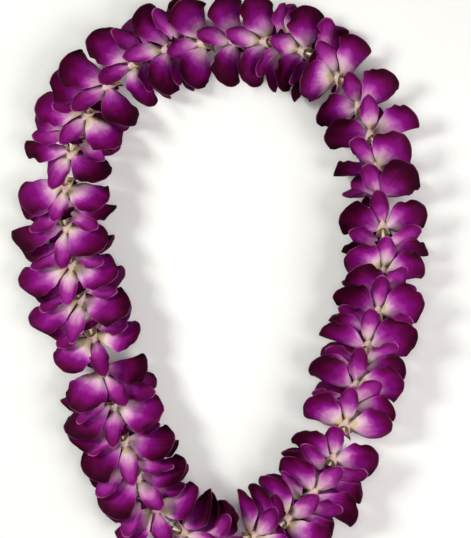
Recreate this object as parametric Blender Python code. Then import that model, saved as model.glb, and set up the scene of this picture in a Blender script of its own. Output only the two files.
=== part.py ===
"""Orchid lei laid flat: a tied loop of cotton string threaded through purple dendrobium blooms.

Every bloom is shaped along a straight string first, at a distance s along it, u towards the
inside of the loop and v upwards, and then placed on the curved route. Lengths are in
millimetres until a mesh is made.
"""
import math
from collections import namedtuple

import bmesh
import bpy
import numpy as np

MM = 0.001
SEED = 1938
SEED_STEP = 7

# Route of the string seen from above, clockwise from the top
ROUTE = [(0, 178), (59, 168), (97, 124), (109.5, 62), (109, -4), (93, -64), (74, -123), (36, -168),
         (-22, -178), (-62, -140), (-81, -85), (-99, -28), (-115, 38), (-109, 108), (-67, 162)]
ROUTE_STEPS = 60

# Aside and up from the middle of the route's points to the middle of the blooms' outline
MIDDLE = (-5.33, -1.30)

# String, its knot and its two cut tails, whose points lie aside of, above and along from the knot
STRING_RADIUS = 0.6
STRING_SIDES = 6
STRING_HEIGHT = 16.6
STRING_SPANS = 90
KNOT_STATION = 516.2
KNOT_TURNS = 3
KNOT_TURN_RADIUS = 0.64
KNOT_TURN_PITCH = 0.88
KNOT_SIDES = 8
TAIL_RADIUS = 0.55
TAIL_POINTS = [(0.2, -0.5, -0.5), (1.2, -3.4, -0.8), (1.9, -6.4, -0.5), (2.1, -9.2, -0.9)]

# Blooms with their tops up: distance along the string, and turn about it to the inside in degrees
FRONT_BLOOMS = [(5, -10), (27, -16), (55, 5), (86, -14), (112, 0), (134, -6), (158, 26), (201, -8),
                (233, 0), (262, -8), (287, 12), (317, 10), (346, 0), (372, 8), (400, -14), (427, 0),
                (454, 10), (480, -8), (506, 4), (532, -12), (558, 0), (585, 8), (612, -10), (637, 10),
                (663, 12), (691, -6), (717, -12), (744, -4), (773, -14), (797, -12), (827, -10),
                (853, -14), (877, -12), (903, -14), (929, -6)]

# Blooms turned to the side
SIDE_BLOOMS = [(179, -112), (249.5, 104)]

# Blooms turned over, which fill the gaps at the sides
TURNED_BLOOMS = [(41, 150), (70.5, 172), (217.4, 182), (274.5, 172), (302, 186), (331.5, 190),
                 (386, 170), (413.5, 186), (440.5, 176), (492.6, 172), (545, 184), (571.5, 172),
                 (598.5, 188), (624.5, 178), (677, 193), (704, 174), (730.5, 186), (758, 172),
                 (812, 184), (840, 192), (890, 186), (916, 172)]
TURN_JITTER = 12.0
TURNED_JITTER = 18.0
SIZE_JITTER = 0.06
SIZE_SWING = 0.05
LARGEST_STATION = 620.0
LOOP = 950.0

# Lie of a bloom's face, a sheet that leans back from a rounded fold below the string
LEAN = math.radians(56)
FOLD_ROUNDING = 3.5
FOLD_DROP = 4.4
FACE_REACH = 48.0
FACE_STEP = 0.25

# Room kept between the sheets of neighbouring blooms
LEAST_GAP = 2.3
GAP_SHARE = 0.42
LEAST_PUSH = 0.05
LEAST_SQUEEZE = 0.2

# Hub of a bloom, the throat and the spur behind it that the string passes through
HUB_SIDES = 6
HUB_FRONT = 3.6
HUB_FRONT_RADIUS = 4.9
HUB_BACK_RADIUS = 2.2
SPUR_LENGTH = 9.0
HUB_GAP = 0.9
BORE_RADIUS = 1.2
ROOT_RADIUS = 1.8

# Finger in the throat: distance along the string, distance from it and radius
FINGER_RINGS = [(2.2, 2.5, 0.95), (7.0, 4.9, 1.1)]
FINGER_SIDES = 3

# A tepal's angle from the top, length, half widths, share of the length where it is widest, how
# round its end is, how far along the string it lies and leans forward, rows and end corners
Tepal = namedtuple("Tepal", "angle length width claw widest rounding layer forward rows corners")
UPPER_SEPAL = Tepal(0, 30.0, 7.0, 1.5, 0.50, 0.30, -1.6, 0.0, 2, 3)
PETAL = Tepal(70, 33.5, 16.0, 1.5, 0.56, 0.17, 0.7, 0.0, 3, 4)
SIDE_SEPAL = Tepal(138, 29.0, 7.6, 1.4, 0.50, 0.30, -1.6, 0.0, 2, 3)
TURNED_SIDE_SEPAL = SIDE_SEPAL._replace(angle=118)
TURNED_PETAL = PETAL._replace(rows=2)
LIP = Tepal(180, 15.0, 7.0, 1.1, 0.66, 0.12, 2.2, 5.5, 2, 3)
ROW_CORNERS = 3
SWELL = 1.25
BLADE_HALF = 0.4

# Waved edges, curled back ends and cupped faces of the tepals, and how much each one's draw adds
WAVE = 1.9
WAVE_TURNS = 1.3
CURL = 1.7
CURL_JITTER = 1.6
CUP = -0.9
CUP_JITTER = 1.6
ANGLE_JITTER = 0.15
LENGTH_JITTER = 0.07

# Solver for the blooms, where the exact one leaves faces that touch along an edge
BLADE_SOLVER = "MANIFOLD"

# Table that the lowest tips are pressed flat on
LEAST_PRESS = 0.002
TABLE_REACH = 300.0
TABLE_DEPTH = 20.0

# Colours
PETAL_COLOUR = (0.32, 0.02, 0.26)
COTTON_COLOUR = (0.80, 0.77, 0.70)


def closed_spline(points, steps):
    """A smooth closed curve through the points, as dense samples."""
    count = len(points)
    system = 4 * np.eye(count) + np.roll(np.eye(count), 1, 0) + np.roll(np.eye(count), -1, 0)
    bends = np.linalg.solve(system, 6 * (np.roll(points, 1, 0) - 2 * points + np.roll(points, -1, 0)))
    share = np.arange(steps)[:, None] / steps
    rest = 1 - share
    pieces = []
    for i in range(count):
        j = (i + 1) % count
        bent = (rest ** 3 - rest) * bends[i] + (share ** 3 - share) * bends[j]
        pieces.append(points[i] * rest + points[j] * share + bent / 6)
    return np.concatenate(pieces)


class Route:
    """The string's course, read by the distance along it."""

    def __init__(self):
        self.line = closed_spline(np.array(ROUTE, float) - MIDDLE, ROUTE_STEPS)
        step = np.roll(self.line, -1, 0) - self.line
        size = np.linalg.norm(step, axis=1)
        self.length = float(size.sum())
        self.starts = np.concatenate([[0.0], np.cumsum(size)[:-1]])
        self.middles = self.starts + size / 2
        self.heading = np.unwrap(np.arctan2(step[:, 1], step[:, 0]))
        turn = np.diff(np.append(self.heading, self.heading[0] - 2 * math.pi))
        self.bend = -turn / size

    def look_up(self, s, places, values, lap):
        """Value at distance s, where one lap of the loop adds lap to it."""
        laps = np.floor(np.asarray(s, float) / self.length)
        within = s - laps * self.length
        long_places = np.concatenate([places[-1:] - self.length, places, places[:1] + self.length])
        long_values = np.concatenate([values[-1:] - lap, values, values[:1] + lap])
        return np.interp(within, long_places, long_values) + laps * lap

    def bend_at(self, s):
        return self.look_up(s, self.starts, self.bend, 0.0)

    def place(self, s, u, v):
        """Points of the curved lei for straight places (s, u, v)."""
        x = self.look_up(s, self.starts, self.line[:, 0], 0.0)
        y = self.look_up(s, self.starts, self.line[:, 1], 0.0)
        heading = self.look_up(s, self.middles, self.heading, -2 * math.pi)
        height = np.broadcast_to(STRING_HEIGHT + v, x.shape)
        return np.stack([x + u * np.sin(heading), y - u * np.cos(heading), height], -1)


def lean_back(height):
    """How far a sheet lies behind its fold at a height above it."""
    return -math.tan(LEAN) * (np.hypot(height, FOLD_ROUNDING) - FOLD_ROUNDING)


class Bloom:
    """One bloom's station on the string, its turn about it and its seeded draws."""

    def __init__(self, number, station, turn, front):
        draws = np.random.default_rng(SEED + SEED_STEP * number)
        jitter = TURN_JITTER if front else TURNED_JITTER
        self.station = station
        self.front = front
        self.turn = math.radians(turn + jitter * draws.uniform(-1, 1))
        self.fold = -FOLD_DROP * abs(math.cos(self.turn))
        swing = math.cos(2 * math.pi * (station - LARGEST_STATION) / LOOP)
        self.size = 1 + SIZE_SWING * swing + SIZE_JITTER * draws.uniform(-1, 1)
        self.draws = draws.uniform(-1, 1, (6, 6))
        self.heights = np.arange(-FACE_REACH, FACE_REACH + FACE_STEP / 2, FACE_STEP)
        steps = np.hypot(np.diff(self.heights), np.diff(lean_back(self.heights - self.fold)))
        climbed = np.concatenate([[0.0], np.cumsum(steps)])
        self.climbed = climbed - np.interp(0.0, self.heights, climbed)

    def height_of(self, w):
        """Height above the string at the distance w up the bloom's leaning face."""
        return np.interp(w, self.climbed, self.heights)

    def sheet(self, v):
        """Distance along the string of the bloom's face at height v."""
        return self.station + lean_back(v - self.fold) - lean_back(-self.fold)

    def tepals(self):
        """The bloom's tepals as shape, draw number and side. Where it is turned over, no lip shows."""
        side_sepal = SIDE_SEPAL if self.front else TURNED_SIDE_SEPAL
        petal = PETAL if self.front else TURNED_PETAL
        tepals = [(UPPER_SEPAL, 0, 1), (side_sepal, 1, 1), (side_sepal, 2, -1),
                  (petal, 3, 1), (petal, 4, -1)]
        return tepals + [(LIP, 5, 1)] if self.front else tepals


class Neighbour:
    """A bloom seen from the next one, on the same lap of the loop."""

    def __init__(self, bloom, shift):
        self.bloom = bloom
        self.shift = shift
        self.station = bloom.station + shift

    def sheet(self, v):
        return self.bloom.sheet(v) + self.shift


def all_blooms():
    """All blooms in order along the string."""
    places = [(station, turn, True) for station, turn in FRONT_BLOOMS + SIDE_BLOOMS]
    places += [(station, turn, False) for station, turn in TURNED_BLOOMS]
    return [Bloom(number, *place) for number, place in enumerate(sorted(places))]


def neighbours(blooms, i, route):
    """The blooms before and after bloom i."""
    last = len(blooms) - 1
    before = Neighbour(blooms[i - 1], -route.length if i == 0 else 0.0)
    after = Neighbour(blooms[0 if i == last else i + 1], route.length if i == last else 0.0)
    return before, after


def half_width(shape, share):
    """Half width of a tepal at a share of its length."""
    rise = np.clip(share / shape.widest, 0, 1)
    fall = np.clip((share - shape.widest) / (1 - shape.widest), 0, 1)
    swell = np.sin(rise * math.pi / 2) ** SWELL
    return (shape.claw + (shape.width - shape.claw) * swell) * np.sqrt(np.clip(1 - fall * fall, 0, 1))


def sign(value):
    return np.where(np.asarray(value) < 0, -1.0, 1.0)


def tepal_face(bloom, shape, index, side, t, q):
    """Places u and w on the bloom's face and the push off it, for shares t along and q across."""
    draw = bloom.draws[index]
    length = shape.length * bloom.size * (1 + LENGTH_JITTER * draw[1])
    angle = math.radians(shape.angle * side) + bloom.turn + ANGLE_JITTER * draw[0] * np.minimum(3 * t, 1)
    across = side * q * half_width(shape, t * (1 - shape.rounding * t * t))
    along = ROOT_RADIUS + length * t * (1 - shape.rounding * q * q * t * t)
    u = along * np.sin(angle) + across * np.cos(angle)
    w = along * np.cos(angle) - across * np.sin(angle)
    ripple = np.sin(2 * math.pi * WAVE_TURNS * t + math.pi * (sign(q) / 2 + draw[2]))
    wave = WAVE * ripple * np.abs(q) ** 1.5 * t
    curl = -(CURL + CURL_JITTER * draw[3]) * t ** 3
    cup = (CUP + CUP_JITTER * draw[4]) * q * q * t
    return u, w, shape.layer + shape.forward * t + wave + curl + cup


def keep_between(bloom, before, after, route, u, v, push):
    """The push along the string, kept clear of the faces of the blooms before and after."""
    s = bloom.sheet(v)
    squeeze = np.maximum(1 - route.bend_at(s) * u, LEAST_SQUEEZE)
    limits = []
    for room in (after.sheet(v) - s, s - before.sheet(v)):
        most = np.minimum(GAP_SHARE * room, 0.5 * (room - LEAST_GAP / squeeze))
        limits.append(np.maximum(most, LEAST_PUSH))
    ahead, behind = limits
    return np.where(push > 0, ahead * np.tanh(push / ahead), behind * np.tanh(push / behind))


def tepal_surface(bloom, before, after, route, tepal, t, q):
    """Middle surface of a tepal in the curved lei."""
    u, w, push = tepal_face(bloom, *tepal, t, q)
    v = bloom.height_of(w)
    push = keep_between(bloom, before, after, route, u, v, push)
    return route.place(bloom.sheet(v) + push, u, v)


def new_object(name, vertices, faces, collection):
    """A mesh object from points in millimetres, its faces turned outwards."""
    mesh = bpy.data.meshes.new(name)
    mesh.from_pydata([tuple(float(c) * MM for c in point) for point in vertices], [], faces)
    shape = bmesh.new()
    shape.from_mesh(mesh)
    bmesh.ops.recalc_face_normals(shape, faces=shape.faces)
    shape.to_mesh(mesh)
    shape.free()
    made = bpy.data.objects.new(name, mesh)
    collection.objects.link(made)
    return made


def row_triangles(near, far, count):
    """Triangles from a row of three corners to the next row, as a fan from the middle one."""
    middle = near + 1
    fan = [(middle, far + j, far + j + 1) for j in range(count - 1)]
    return [(near, far, middle)] + fan + [(middle, far + count - 1, near + 2)]


def corner_normals(corners, triangles):
    """Normals at a blade's corners, each the mean of those of the triangles round it."""
    index = np.array(triangles)
    a, b, c = corners[index[:, 0]], corners[index[:, 1]], corners[index[:, 2]]
    flat = np.cross(b - a, c - a)
    flat /= np.linalg.norm(flat, axis=1, keepdims=True)
    normals = np.zeros_like(corners)
    for k in range(3):
        np.add.at(normals, index[:, k], flat)
    return normals / np.linalg.norm(normals, axis=1, keepdims=True)


def make_tepal(surface, shape, pieces):
    """A closed blade round a tepal's middle surface, thin at its edges and thick at its root."""
    rows = [np.linspace(-1, 1, ROW_CORNERS)] * shape.rows + [np.linspace(-1, 1, shape.corners)]
    t = np.concatenate([np.full(len(row), i / shape.rows) for i, row in enumerate(rows)])
    q = np.concatenate(rows)
    middle = surface(t, q)
    triangles = []
    for row, corners in enumerate(rows[1:]):
        first = row * ROW_CORNERS
        triangles += row_triangles(first, first + ROW_CORNERS, len(corners))
    normals = corner_normals(middle, triangles)
    vertices = list(middle)
    other = {}
    for k in np.flatnonzero((t < 1) & (np.abs(q) < 1)):
        vertices[k] = middle[k] - BLADE_HALF * normals[k]
        other[int(k)] = len(vertices)
        vertices.append(middle[k] + BLADE_HALF * normals[k])
    back = [tuple(other.get(corner, corner) for corner in reversed(triangle)) for triangle in triangles]
    root = [(0, 1, other[1]), (1, 2, other[1])]
    return new_object("tepal", vertices, triangles + back + root, pieces)


def hub_frame(route, bloom):
    """A straight hub's start on the string, and its directions along, inside and up."""
    middle = bloom.station + (HUB_FRONT - SPUR_LENGTH) / 2
    ends = route.place(middle + np.array([-SPUR_LENGTH / 2, SPUR_LENGTH / 2]), 0.0, 0.0)
    along = (ends[1] - ends[0]) / np.linalg.norm(ends[1] - ends[0])
    centre = (ends.mean(0) + route.place(middle, 0.0, 0.0)) / 2
    start = centre + along * (bloom.station - middle)
    return start, along, np.array([along[1], -along[0], 0.0]), np.array([0.0, 0.0, 1.0])


def ring(frame, along, radius, angles, aside=0.0, lift=0.0):
    """Points round the hub's axis at a distance along it and the given angles."""
    start, forward, inside, up = frame
    sideways = aside + radius * np.sin(angles)
    upwards = lift + radius * np.cos(angles)
    return start + along * forward + sideways[:, None] * inside + upwards[:, None] * up


def even_angles(sides, start):
    return start + 2 * math.pi * np.arange(sides) / sides


def hub_corners(bloom):
    """Angles of the hub's corners, halfway between the tepals that grow from its flats."""
    side_sepal = SIDE_SEPAL if bloom.front else TURNED_SIDE_SEPAL
    upper = PETAL.angle / 2
    middle = (PETAL.angle + side_sepal.angle) / 2
    lower = (side_sepal.angle + LIP.angle) / 2
    return bloom.turn + np.radians([upper, middle, lower, -lower, -middle, -upper])


def tube_faces(rings, sides, closed):
    """Side faces of a tube made of rings of vertices."""
    faces = []
    for k in range(rings if closed else rings - 1):
        following = (k + 1) % rings
        for j in range(sides):
            beside = (j + 1) % sides
            faces.append((k * sides + j, k * sides + beside,
                          following * sides + beside, following * sides + j))
    return faces


def capped_tube(vertices, sides):
    """Faces of a tube with its two ends closed."""
    count = len(vertices)
    ends = [tuple(range(sides)), tuple(range(count - sides, count))]
    return tube_faces(count // sides, sides, False) + ends


def make_hub(frame, bloom, before, name, collection):
    """The bloom's throat and spur, a thick tube round the string with a flat to each tepal."""
    back = max(before.station + HUB_FRONT + HUB_GAP - bloom.station, -SPUR_LENGTH)
    corners = hub_corners(bloom)
    even = even_angles(HUB_SIDES, bloom.turn + math.pi / HUB_SIDES)
    rings = [ring(frame, back, HUB_BACK_RADIUS, corners),
             ring(frame, HUB_FRONT, HUB_FRONT_RADIUS, corners),
             ring(frame, HUB_FRONT, BORE_RADIUS, even),
             ring(frame, back, BORE_RADIUS, even)]
    return new_object(name, np.concatenate(rings), tube_faces(len(rings), HUB_SIDES, True), collection)


def make_finger(frame, bloom, pieces):
    """The finger that stands in the throat above the string."""
    corners = even_angles(FINGER_SIDES, bloom.turn)
    rings = []
    for along, off, radius in FINGER_RINGS:
        aside = off * math.sin(bloom.turn)
        lift = off * math.cos(bloom.turn)
        rings.append(ring(frame, along, radius, corners, aside, lift))
    vertices = np.concatenate(rings)
    return new_object("finger", vertices, capped_tube(vertices, FINGER_SIDES), pieces)


def combine(target, operation, others, solver):
    """The target takes the mesh of a Boolean between it and a collection's objects."""
    change = target.modifiers.new("change", "BOOLEAN")
    change.operation = operation
    change.operand_type = "COLLECTION"
    change.collection = others
    change.solver = solver
    change.use_self = solver == "EXACT"
    graph = bpy.context.evaluated_depsgraph_get()
    mesh = bpy.data.meshes.new_from_object(target.evaluated_get(graph))
    target.modifiers.clear()
    target.data = mesh


def fuse(target, pieces, solver):
    """Union of the target with a collection's objects, which are then removed."""
    combine(target, "UNION", pieces, solver)
    for helper in list(pieces.objects):
        bpy.data.objects.remove(helper)


def press_flat(target, cutters):
    """Tips that reach the table end in a small flat on it."""
    if min(vertex.co.z for vertex in target.data.vertices) < -LEAST_PRESS * MM:
        combine(target, "DIFFERENCE", cutters, BLADE_SOLVER)


def make_table(cutters):
    """The cutter that stands for the table the lei lies on."""
    square = [(-1, -1), (1, -1), (1, 1), (-1, 1)]
    corners = [(TABLE_REACH * x, TABLE_REACH * y, z) for z in (-TABLE_DEPTH, 0.0) for x, y in square]
    table = new_object("table", corners, capped_tube(corners, len(square)), cutters)
    table.hide_render = True
    table.display_type = "WIRE"


def make_bloom(route, blooms, i, lei, pieces, cutters, material):
    """A bloom as one closed node: hub, five tepals, and lip and finger where they show."""
    bloom = blooms[i]
    before, after = neighbours(blooms, i, route)
    frame = hub_frame(route, bloom)
    hub = make_hub(frame, bloom, before, f"bloom_{i + 1:02d}", lei)
    for tepal in bloom.tepals():
        def surface(t, q, tepal=tepal):
            return tepal_surface(bloom, before, after, route, tepal, t, q)
        make_tepal(surface, tepal[0], pieces)
    if bloom.front:
        make_finger(frame, bloom, pieces)
    fuse(hub, pieces, BLADE_SOLVER)
    press_flat(hub, cutters)
    set_material(hub, material)
    return hub


def string_curve(route):
    """The closed loop of string as a bevelled curve."""
    stations = np.arange(STRING_SPANS) * route.length / STRING_SPANS
    curve = bpy.data.curves.new("string", "CURVE")
    curve.dimensions = "3D"
    spline = curve.splines.new("POLY")
    spline.points.add(STRING_SPANS - 1)
    for point, place in zip(spline.points, route.place(stations, 0.0, 0.0) * MM):
        point.co = (*place, 1)
    spline.use_cyclic_u = True
    curve.bevel_depth = STRING_RADIUS * MM
    curve.bevel_resolution = 1
    return curve


def make_string(route, lei, pieces, material):
    """The tied loop of string, its knot and two short tails in one piece."""
    guide = bpy.data.objects.new("string_guide", string_curve(route))
    lei.objects.link(guide)
    graph = bpy.context.evaluated_depsgraph_get()
    mesh = bpy.data.meshes.new_from_object(guide.evaluated_get(graph))
    bpy.data.objects.remove(guide)
    string = bpy.data.objects.new("string", mesh)
    lei.objects.link(string)
    for turn in range(KNOT_TURNS):
        make_knot_turn(route, (turn - (KNOT_TURNS - 1) / 2) * KNOT_TURN_PITCH, pieces)
    for mirror in (-1, 1):
        make_tail(route, mirror, pieces)
    fuse(string, pieces, "EXACT")
    set_material(string, material)
    return string


def make_knot_turn(route, offset, pieces):
    """One turn of string wound round the loop."""
    vertices = []
    for around in even_angles(KNOT_SIDES, 0.0):
        for angle in even_angles(STRING_SIDES, 0.0):
            radius = KNOT_TURN_RADIUS + STRING_RADIUS * math.cos(angle)
            s = KNOT_STATION + offset + STRING_RADIUS * math.sin(angle)
            vertices.append(route.place(s, radius * math.sin(around), radius * math.cos(around)))
    return new_object("turn", vertices, tube_faces(KNOT_SIDES, STRING_SIDES, True), pieces)


def make_tail(route, mirror, pieces):
    """One cut end of the string below the knot."""
    vertices = []
    for off, lift, along in TAIL_POINTS:
        for angle in even_angles(STRING_SIDES, 0.0):
            u = mirror * (off + TAIL_RADIUS * math.sin(angle))
            s = KNOT_STATION + mirror * along + TAIL_RADIUS * math.cos(angle)
            vertices.append(route.place(s, u, lift))
    return new_object("tail", vertices, capped_tube(vertices, STRING_SIDES), pieces)


def plain_material(name, colour, roughness):
    material = bpy.data.materials.new(name)
    material.use_nodes = True
    shader = material.node_tree.nodes["Principled BSDF"]
    shader.inputs["Base Color"].default_value = (*colour, 1)
    shader.inputs["Roughness"].default_value = roughness
    shader.inputs["Metallic"].default_value = 0.0
    material.diffuse_color = (*colour, 1)
    return material


def set_material(target, material):
    target.data.materials.clear()
    target.data.materials.append(material)


def new_collection(name, hidden):
    collection = bpy.data.collections.new(name)
    collection.hide_render = hidden
    bpy.context.scene.collection.children.link(collection)
    return collection


def main():
    for old in list(bpy.data.objects):
        bpy.data.objects.remove(old)
    lei = new_collection("orchid_lei", False)
    pieces = new_collection("pieces", True)
    cutters = new_collection("cutters", True)
    make_table(cutters)
    petal = plain_material("petal", PETAL_COLOUR, 0.5)
    cotton = plain_material("cotton", COTTON_COLOUR, 0.9)
    route = Route()
    blooms = all_blooms()
    for i in range(len(blooms)):
        make_bloom(route, blooms, i, lei, pieces, cutters, petal)
    make_string(route, lei, pieces, cotton)


main()
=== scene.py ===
"""Looks of the orchid lei: fine velvety blooms and a twisted string in place of the plain solids.

The blooms follow the same course, stations and seeded draws as the solids. A place is given by
its distance along the string (s), towards the inside of the loop (u) and upwards (v), in
millimetres until a mesh is made.
"""
import math
from collections import namedtuple

import bpy
import numpy as np
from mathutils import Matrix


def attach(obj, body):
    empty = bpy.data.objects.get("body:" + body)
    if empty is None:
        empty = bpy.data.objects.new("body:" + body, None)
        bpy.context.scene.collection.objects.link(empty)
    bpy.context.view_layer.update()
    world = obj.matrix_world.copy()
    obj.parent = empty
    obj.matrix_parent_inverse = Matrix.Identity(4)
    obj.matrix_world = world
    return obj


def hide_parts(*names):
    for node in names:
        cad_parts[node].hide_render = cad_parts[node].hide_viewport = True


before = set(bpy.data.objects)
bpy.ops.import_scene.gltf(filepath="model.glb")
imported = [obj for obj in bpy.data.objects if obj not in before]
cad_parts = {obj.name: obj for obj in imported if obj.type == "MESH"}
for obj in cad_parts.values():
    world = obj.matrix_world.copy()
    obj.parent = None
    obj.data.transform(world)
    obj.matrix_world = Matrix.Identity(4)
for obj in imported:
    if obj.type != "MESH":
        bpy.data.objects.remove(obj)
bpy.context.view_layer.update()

MM = 0.001
TURN = 2 * math.pi
SEED = 1938
SEED_STEP = 7
TEPALS_PER_BLOOM = 6
DRAWS_PER_TEPAL = 6
BODY = "root"
PETAL_SLOT, SEPAL_SLOT, LIP_SLOT, THROAT_SLOT, FINGER_SLOT = range(5)

# Course of the string and stations of the blooms, as in the solids
ROUTE = [(0, 178), (59, 168), (97, 124), (109.5, 62), (109, -4), (93, -64), (74, -123), (36, -168),
         (-22, -178), (-62, -140), (-81, -85), (-99, -28), (-115, 38), (-109, 108), (-67, 162)]
ROUTE_STEPS = 60
MIDDLE = (-5.33, -1.30)
STRING_HEIGHT = 16.6
FRONT_BLOOMS = [(5, -10), (27, -16), (55, 5), (86, -14), (112, 0), (134, -6), (158, 26), (201, -8),
                (233, 0), (262, -8), (287, 12), (317, 10), (346, 0), (372, 8), (400, -14), (427, 0),
                (454, 10), (480, -8), (506, 4), (532, -12), (558, 0), (585, 8), (612, -10), (637, 10),
                (663, 12), (691, -6), (717, -12), (744, -4), (773, -14), (797, -12), (827, -10),
                (853, -14), (877, -12), (903, -14), (929, -6)]
SIDE_BLOOMS = [(179, -112), (249.5, 104)]
TURNED_BLOOMS = [(41, 150), (70.5, 172), (217.4, 182), (274.5, 172), (302, 186), (331.5, 190),
                 (386, 170), (413.5, 186), (440.5, 176), (492.6, 172), (545, 184), (571.5, 172),
                 (598.5, 188), (624.5, 178), (677, 193), (704, 174), (730.5, 186), (758, 172),
                 (812, 184), (840, 192), (890, 186), (916, 172)]
TURN_JITTER = 12.0
TURNED_JITTER = 18.0
SIZE_JITTER = 0.06
SIZE_SWING = 0.05
LARGEST_STATION = 620.0
LOOP = 950.0

# Lie of a bloom's face and the room between neighbours, as in the solids
LEAN = math.radians(56)
FOLD_ROUNDING = 3.5
FOLD_DROP = 4.4
FACE_REACH = 48.0
FACE_STEP = 0.25
LEAST_GAP = 2.3
GAP_SHARE = 0.42
LEAST_PUSH = 0.05
LEAST_SQUEEZE = 0.2
HUB_FRONT = 3.6
SPUR_LENGTH = 9.0
HUB_GAP = 0.9
ROOT_RADIUS = 1.8

# Tepals, as in the solids, with finer rows and columns
Tepal = namedtuple("Tepal", "angle length width claw widest rounding layer forward rows columns slot")
UPPER_SEPAL = Tepal(0, 30.0, 7.0, 1.5, 0.50, 0.30, -1.6, 0.0, 24, 12, SEPAL_SLOT)
PETAL = Tepal(70, 33.5, 16.0, 1.5, 0.56, 0.17, 0.7, 0.0, 30, 24, PETAL_SLOT)
SIDE_SEPAL = Tepal(138, 29.0, 7.6, 1.4, 0.50, 0.30, -1.6, 0.0, 24, 12, SEPAL_SLOT)
TURNED_SIDE_SEPAL = SIDE_SEPAL._replace(angle=118)
LIP = Tepal(180, 15.0, 7.0, 1.1, 0.66, 0.12, 2.2, 5.5, 26, 20, LIP_SLOT)
SWELL = 1.25
WAVE = 1.9
WAVE_TURNS = 1.3
WAVE_RISE = 1.5
CURL = 1.7
CURL_JITTER = 1.6
CUP = -0.9
CUP_JITTER = 1.6
ANGLE_JITTER = 0.15
ANGLE_EASE = 3
LENGTH_JITTER = 0.07

# Fine form of a tepal: spread of its rows and columns, thickness and rounded end corners
ROW_SPREAD = 0.9
COLUMN_SPREAD = 2.6
MIDDLE_HALF = 0.30
EDGE_HALF = 0.11
THIN_ACROSS = 2.5
THIN_ALONG = 6
CORNER_ALONG = 0.20
CORNER_ACROSS = 0.62

# How softly a tepal rests on the table, the least angle of a sharp edge and the least normal
TABLE_SOFTNESS = 0.9
SHARP_ANGLE = math.radians(58)
LEAST_NORMAL = 1e-9

# Fine form of a tepal: its ruffled and notched margin and end, and its grooved midrib
RUFFLE = 0.75
RUFFLE_TURNS = 3.4
RUFFLE_JITTER = 0.25
RUFFLE_PHASE = 5
RUFFLE_SIDE_PHASE = 2.1
RUFFLE_ACROSS = 4
RUFFLE_ALONG = 0.7
END_RUFFLE = 0.375
END_TURNS = 1.4
END_PHASE = 7
END_ALONG = 8
NOTCH = 0.035
NOTCH_TURNS = 2.6
NOTCH_PHASE = 9
GROOVE = 0.38
GROOVE_WIDTH = 0.11

# Fine form of the lip: share of its full width along it, and how its side lobes fold up
LIP_OUTLINE = [(0.0, 0.35), (0.12, 0.7), (0.3, 1.05), (0.45, 1.0), (0.6, 0.62), (0.72, 0.78),
               (0.86, 0.95), (0.95, 0.8), (1.0, 0.55)]
LIP_FOLD = 3.2
LIP_FOLD_PLACE = 0.35
LIP_FOLD_WIDTH = 0.2
LIP_RUFFLE = 0.9
LIP_RUFFLE_TURNS = 5.0
LIP_SIDE_PHASE = 3
LIP_PHASE = 5

# Throat and spur: rings as (distance along, radius, share of the rim's slant)
THROAT_SIDES = 30
THROAT_OUTSIDE = [(-2.5, 3.1, 0.0), (-0.6, 3.7, 0.25), (1.2, 4.1, 0.6), (2.6, 4.5, 0.9),
                  (3.4, 4.95, 1.0), (3.55, 5.0, 1.0)]
THROAT_INSIDE = [(3.45, 4.8, 1.0), (2.5, 4.1, 0.9), (1.6, 3.3, 0.55), (0.8, 2.3, 0.25),
                 (0.1, 1.4, 0.0), (-0.8, 1.1, 0.0)]
SPUR_END = [(0.1, 1.3), (0.0, 1.75), (0.25, 2.15)]
SPUR_RADIUS = 2.5
SPUR_RISE = 2.2
SPUR_ROOM = 0.8
BORE_RADIUS = 1.05
RIM_LEVEL = -0.2
RIM_TILT = -2.2
RIM_DIP = -1.2
RIB_DEPTH = 0.05
RIB_COUNT = 6
RIB_PHASE = 1.0
RIBBED_FROM = 2

# Finger in the throat: distance along, distance from the string and radius
FINGER = [(0.4, 2.0, 0.5), (1.4, 2.2, 0.8), (2.6, 2.65, 0.95), (4.0, 3.3, 1.0), (5.2, 3.95, 1.08),
          (6.1, 4.45, 1.2), (6.6, 4.7, 1.22), (7.0, 4.9, 1.1), (7.3, 5.05, 0.7), (7.4, 5.1, 0.2)]
FINGER_SIDES = 14
FINGER_FLATNESS = 0.8

# String: three plies, its knot and its tails
PLIES = 3
PLY_RADIUS = 0.34
PLY_OFFSET = 0.3
PLY_PITCH = 4.6
PLY_STEP = 0.9
PLY_SIDES = 6
STEEP = 0.9
KNOT_STATION = 516.2
KNOT_TURNS = 3
KNOT_REACH = 0.76
KNOT_THICKNESS = 0.48
KNOT_PITCH = 0.88
KNOT_SLOPE = 0.25
KNOT_STEPS = 28
KNOT_SIDES = 8
TAIL_POINTS = [(0.2, -0.5, -0.5), (1.2, -3.4, -0.8), (1.9, -6.4, -0.5), (2.1, -9.2, -0.9)]
TAIL_STEPS = 26
TAIL_TWIST = 2.2
TAIL_LOOSENESS = 1.3
TAIL_TAPER = 0.35
TAIL_FRAY = 4

# Steps of the number that makes each bloom's and each tepal's pattern its own
BLOOM_PATTERN = 1.7
TEPAL_PATTERN = 0.31

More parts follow.
